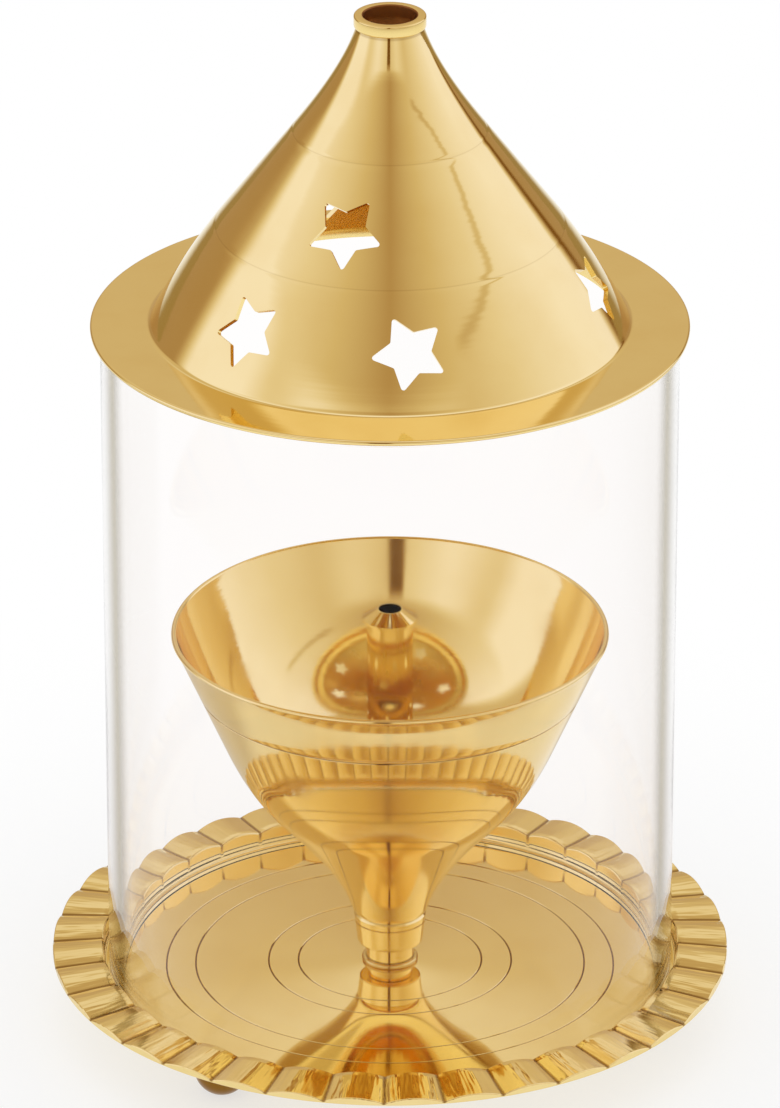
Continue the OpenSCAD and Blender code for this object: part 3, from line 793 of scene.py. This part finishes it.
def nozzle_points():
    """A cone with a low band at its foot, and the spigot that stands in the tube."""
    outer, foot = NOZZLE_HIGH.x, TUBE_HIGH.z
    return [(WICK_HOLE_R, NOZZLE_LOW.z), (SPIGOT_R, NOZZLE_LOW.z), (SPIGOT_R, foot), (outer, foot),
            (outer, foot + NOZZLE_BAND_H), (WICK_HOLE_R + NOZZLE_LIP, NOZZLE_HIGH.z),
            (WICK_HOLE_R, NOZZLE_HIGH.z)]


def hoop_points(inner_r, low, high):
    """A plain ring between two corners of its box."""
    return [(inner_r, low.z), (high.x, low.z), (high.x, high.z), (inner_r, high.z)]


def foot_points():
    """A ball with a small flat below, whose neck reaches the tray."""
    ball_r = (FOOT_HIGH.x - FOOT_LOW.x) / 2
    ball_z = math.sqrt(ball_r ** 2 - FOOT_FLAT_R ** 2)
    low = math.degrees(math.asin(-ball_z / ball_r))
    high = math.degrees(math.acos(FOOT_NECK_R / ball_r))
    top = FOOT_HIGH.z
    return [(0.0, 0.0)] + arc((0.0, ball_z), ball_r, low, high, 40) + [(FOOT_NECK_R, top), (0.0, top)]


tray = turned("tray", tray_points(), TRAY_FINISH, columns=FLUTE_COUNT * 20,
              First_Angle=math.radians(FLUTE_PHASE), Flutes=FLUTE_COUNT, Flute_Depth=FLUTE_DEPTH * MM,
              Rim_Radius=TRAY_HIGH.x * MM, Crease_Sharpness=CREASE_SHARPNESS,
              Crease_Grime=CREASE_PAINTED_SHADE)
one_foot = turned("foot", foot_points(), FOOT_FINISH, columns=96)
feet = crisp(grown("feet", CIRCLE, one_foot.data, Count=FOOT_COUNT, Radius=FOOT_CIRCLE_R * MM,
                   First_Angle=math.radians(FOOT_ANGLE), Finish=FOOT_FINISH))
bpy.data.objects.remove(one_foot)
spool = turned("spool", spool_points(), FITTING_FINISH)
bowl = turned("bowl", bowl_points(), BOWL_FINISH, columns=320)
nozzle = turned("nozzle", nozzle_points(), FITTING_FINISH)
glass = turned("glass", glass_points(), GLASS_FINISH, columns=320)
collar = turned("collar", collar_points(), FITTING_FINISH)
tube = turned("tube", hoop_points(TUBE_BORE_R, TUBE_LOW, TUBE_HIGH), FITTING_FINISH)
tube = drilled(tube, FEED_HOLE_R, FEED_HOLE_H)
locator_r = RING_HIGH.x - LOCATING_RING_T
locator = turned("locating_ring", hoop_points(locator_r, RING_LOW, RING_HIGH), FITTING_FINISH)
washer = turned("washer", hoop_points(SCREW_HOLE_R, WASHER_LOW, WASHER_HIGH), STEEL_FINISH)

lid_path = lid_curve()
upper_r, upper_lean = star_seat(lid_path, STAR_HIGH)
lower_r, lower_lean = star_seat(lid_path, STAR_LOW)
upper_turn, left_turn, right_turn = [math.radians(turn) for turn in STAR_TURNS]
lid_blank = turned("lid_blank", lid_points(), LID_FINISH, columns=384)
lid = crisp(grown(
    "lid", STARS, lid_blank.data, Upper_Stars=UPPER_STAR_COUNT, Star_Pairs=STAR_PAIR_COUNT,
    First_Angle=math.radians(STAR_ANGLE), Spread=math.radians(STAR_SPREAD),
    Tip_Radius=STAR_TIP_R * MM, Notch_Radius=STAR_NOTCH_R * MM, Corner_Radius=STAR_CORNER_R * MM,
    Cut_Depth=STAR_CUT_DEPTH * MM, Upper_Place=Vector((upper_r, 0, STAR_HIGH)) * MM, Upper_Lean=upper_lean,
    Lower_Place=Vector((lower_r, 0, STAR_LOW)) * MM, Lower_Lean=lower_lean, Upper_Turn=upper_turn,
    Left_Turn=left_turn, Right_Turn=right_turn, Finish=LID_FINISH))
bpy.data.objects.remove(lid_blank)
finish_inside(lid, LID_INSIDE_FINISH)
# Painted shade in the bore of the lid's neck and of the collar
finish_inside(lid, BORE_PAINTED_SHADE_FINISH, LID_HIGH.z - BORE_SHADE_DEPTH)
finish_inside(collar, BORE_PAINTED_SHADE_FINISH)
finish_inside(bowl, BOWL_INSIDE_FINISH)

for piece, body, slot, nodes_replaced in (
        (tray, "base", "polished_brass", ("base_tray",)),
        (feet, "base", "foot_brass", ("foot_front_left", "foot_right", "foot_back")),
        (spool, "base", "turned_brass", ("stem_spool",)),
        (bowl, "base", "polished_brass", ("oil_bowl",)),
        (washer, "base", "fixing_steel", ("stem_washer",)),
        (tube, "wick_holder", "turned_brass", ("wick_tube",)),
        (nozzle, "wick_holder", "turned_brass", ("wick_nozzle",)),
        (glass, "glass", "clear_glass", ("glass_chimney",)),
        (lid, "lid", "polished_brass", ("lid_cone",)),
        (locator, "lid", "turned_brass", ("lid_locating_ring",)),
        (collar, "lid", "turned_brass", ("chimney_collar",))):
    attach(piece, body)
    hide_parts(*nodes_replaced)

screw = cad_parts["stem_screw"].data
screw.materials.clear()
screw.materials.append(STEEL_FINISH)


# Studio


def studio_world():
    """White to the eye and through the glass. What brass mirrors is a room that brightens from the front to
    a white panel on each side, with a dark gap low in front, a dim wall behind and white light overhead."""
    world = bpy.data.worlds.new("studio")
    world.use_nodes = True
    world.node_tree.nodes.clear()
    nodes = Nodes(world.node_tree)
    direction = nodes.add("ShaderNodeTexCoord").outputs["Generated"]
    x, y, z = nodes.add("ShaderNodeSeparateXYZ", {0: direction}).outputs
    # Degrees to the right of the front, degrees to either side of it, and degrees above the table
    compass = nodes.math("DEGREES", nodes.math("ARCTAN2", x, nodes.math("MULTIPLY", y, -1.0)))
    aside = nodes.math("ABSOLUTE", compass)
    rise = nodes.math("DEGREES", nodes.math("ARCSINE", z))

    def both(*factors):
        """The part of the room where all the factors hold."""
        product = factors[0]
        for factor in factors[1:]:
            product = nodes.math("MULTIPLY", product, factor)
        return product

    def below(angle, start, end):
        """1 below the start, and 0 from the end up."""
        return nodes.step(angle, start, end, 1.0, 0.0)

    def between(angle, start, full, fading, end):
        """0 up to the start and from the end up, and 1 in the middle."""
        return both(nodes.step(angle, start, full), below(angle, fading, end))

    def sideways(front_width=14.0, panel_angle=111.0, steepness=0.6):
        """Rises from 0 in front to 1 at the side panels, with a round turn in front."""
        away = nodes.math("ADD", nodes.math("MULTIPLY", compass, compass), front_width ** 2)
        away = nodes.math("SUBTRACT", nodes.math("SQRT", away), front_width)
        away = nodes.math("MINIMUM", nodes.math("DIVIDE", away, panel_angle - front_width), 1.0)
        return nodes.math("POWER", nodes.math("MAXIMUM", away, 0.0), steepness)

    low_down = below(rise, 29.0, 36.0)
    beside_gap = both(between(compass, -65.0, -30.0, 14.0, 45.0), low_down)
    gap = both(between(compass, -9.5, -6.5, -1.0, 2.0), below(rise, 27.0, 33.0))
    left_panel = both(between(compass, -110.0, -102.0, -80.0, -60.0), low_down)
    panel_top = both(between(compass, 38.0, 48.0, 85.0, 95.0), between(rise, 37.0, 38.0, 38.6, 40.0))
    right_edge = both(between(compass, 132.0, 135.0, 139.0, 143.0), below(rise, 18.0, 26.0))
    behind = nodes.math("ADD", below(compass, -122.0, -108.0), nodes.step(compass, 134.0, 139.0))
    low_behind = both(behind, below(rise, 11.0, 26.0), nodes.step(aside, 150.0, 165.0, 1.0, 0.5))
    high_behind = both(nodes.step(aside, 140.0, 165.0), nodes.step(rise, 45.0, 60.0))
    back_light = both(nodes.step(aside, 145.0, 165.0), between(rise, 27.0, 38.0, 45.0, 56.0))
    lightness = 0.48
    for zone, change in ((sideways(), 0.52), (beside_gap, 0.27), (gap, -0.60), (left_panel, 0.12),
                         (panel_top, -0.20), (behind, -0.32), (low_behind, -0.24), (high_behind, -0.12),
                         (back_light, 0.17), (right_edge, -0.25)):
        lightness = nodes.math("MULTIPLY_ADD", zone, change, lightness)
    overhead = nodes.step(rise, 66.0, 78.0)
    lightness = nodes.add("ShaderNodeMix", {"Factor": overhead, "A": lightness, "B": 0.97}).outputs["Result"]
    ramp = nodes.add("ShaderNodeValToRGB", {"Fac": lightness})
    stops = ramp.color_ramp.elements
    stops[0].position, stops[0].color = 0.1, (0.11, 0.05, 0.01, 1.0)
    stops[1].position, stops[1].color = 1.0, (1.0, 1.0, 1.25, 1.0)
    for lightness_there, colour in ((0.22, (0.22, 0.10, 0.02)), (0.48, (0.48, 0.33, 0.18)),
                                    (0.70, (0.70, 0.58, 0.40)), (0.85, (0.85, 0.78, 0.72))):
        stops.new(lightness_there).color = (*colour, 1.0)
    path = nodes.add("ShaderNodeLightPath").outputs
    mirrored = nodes.math("GREATER_THAN", path["Glossy Depth"], 0.5)
    seen = mix(nodes, mirrored, (1.0, 1.0, 1.0, 1.0), ramp.outputs["Color"])
    background = nodes.add("ShaderNodeBackground", {"Color": seen})
    nodes.add("ShaderNodeOutputWorld", {"Surface": background.outputs[0]})
    # What the world shows depends on the ray, so no map of its light is made
    world.cycles.sampling_method = "NONE"
    bpy.context.scene.world = world


def studio_floor():
    """A white floor that keeps the lamp's soft shadow near it and fades to clean white further out. To what
    brass mirrors it shows a painted shadow of the lamp on its left and back side nearby, and a painted dim
    floor further out."""
    mesh = bpy.data.meshes.new("floor")
    half = STUDIO_HALF_WIDTH
    corners = [(-half, -half, 0), (half, -half, 0), (half, half, 0), (-half, half, 0)]
    mesh.from_pydata(corners, [], [(0, 1, 2, 3)])
    floor = place(bpy.data.objects.new("floor", mesh))
    material, nodes = new_material("white_floor")
    spot = nodes.add("ShaderNodeTexCoord").outputs["Object"]
    x, y, _ = nodes.add("ShaderNodeSeparateXYZ", {0: spot}).outputs
    distance = nodes.add("ShaderNodeVectorMath", {0: spot}, operation="LENGTH").outputs["Value"]
    lit = nodes.add("ShaderNodeBsdfDiffuse", {"Color": (0.98, 0.98, 0.98, 1.0)}).outputs[0]
    clean = nodes.add("ShaderNodeEmission", {"Color": (1.0, 1.0, 1.0, 1.0), "Strength": 1.0}).outputs[0]
    far = nodes.step(distance, 0.05, 0.18, 0.65, 1.0)
    white = nodes.add("ShaderNodeMixShader", {0: far, 1: lit, 2: clean}).outputs[0]
    # Painted shade seen only in reflections: a dim floor far out and a painted shadow of the lamp near it
    dim = nodes.add("ShaderNodeEmission", {"Color": (0.36, 0.25, 0.10, 1.0), "Strength": 1.0}).outputs[0]
    path = nodes.add("ShaderNodeLightPath").outputs
    off_glass = nodes.math("MULTIPLY", path["Is Singular Ray"],
                           nodes.math("LESS_THAN", path["Transmission Depth"], 3.5))
    off_brass = nodes.math("GREATER_THAN", path["Glossy Depth"], 0.5)
    off_brass = nodes.math("MULTIPLY", off_brass, nodes.math("SUBTRACT", 1.0, off_glass))
    shaded_side = nodes.math("MULTIPLY_ADD", y, 0.87, nodes.math("MULTIPLY", x, -0.5))
    painted_lamp_shadow = nodes.math("MULTIPLY", nodes.step(shaded_side, 0.03, 0.06, 0.0, 0.5),
                            nodes.step(distance, 0.2, 0.35, 1.0, 0.0))
    shade = nodes.math("MAXIMUM", nodes.step(distance, 0.35, 1.2), painted_lamp_shadow)
    painted_dim_share = nodes.math("MULTIPLY", off_brass, shade)
    nodes.add("ShaderNodeOutputMaterial", {
        "Surface": nodes.add("ShaderNodeMixShader", {0: painted_dim_share, 1: white, 2: dim}).outputs[0]})
    mesh.materials.append(material)


def photo_camera():
    """The camera of the photo: far off, looking down on the lamp from the front."""
    target, rise = Vector((0.0, 0.0, CAMERA_TARGET_H)), math.radians(CAMERA_RISE)
    data = bpy.data.cameras.new("camera")
    data.lens = CAMERA_LENS
    data.sensor_width = 36.0
    data.clip_end = 50.0
    camera = place(bpy.data.objects.new("camera", data))
    camera.location = target + CAMERA_DISTANCE * Vector((0.0, -math.cos(rise), math.sin(rise)))
    camera.rotation_euler = (math.pi / 2 - rise, 0.0, 0.0)
    bpy.context.scene.camera = camera


studio_world()
studio_floor()
photo_camera()
bpy.context.scene.view_settings.view_transform = "Standard"
# Light goes to and fro many times between the brass pieces
bpy.context.scene.cycles.glossy_bounces = 10
bpy.context.scene.cycles.max_bounces = 20
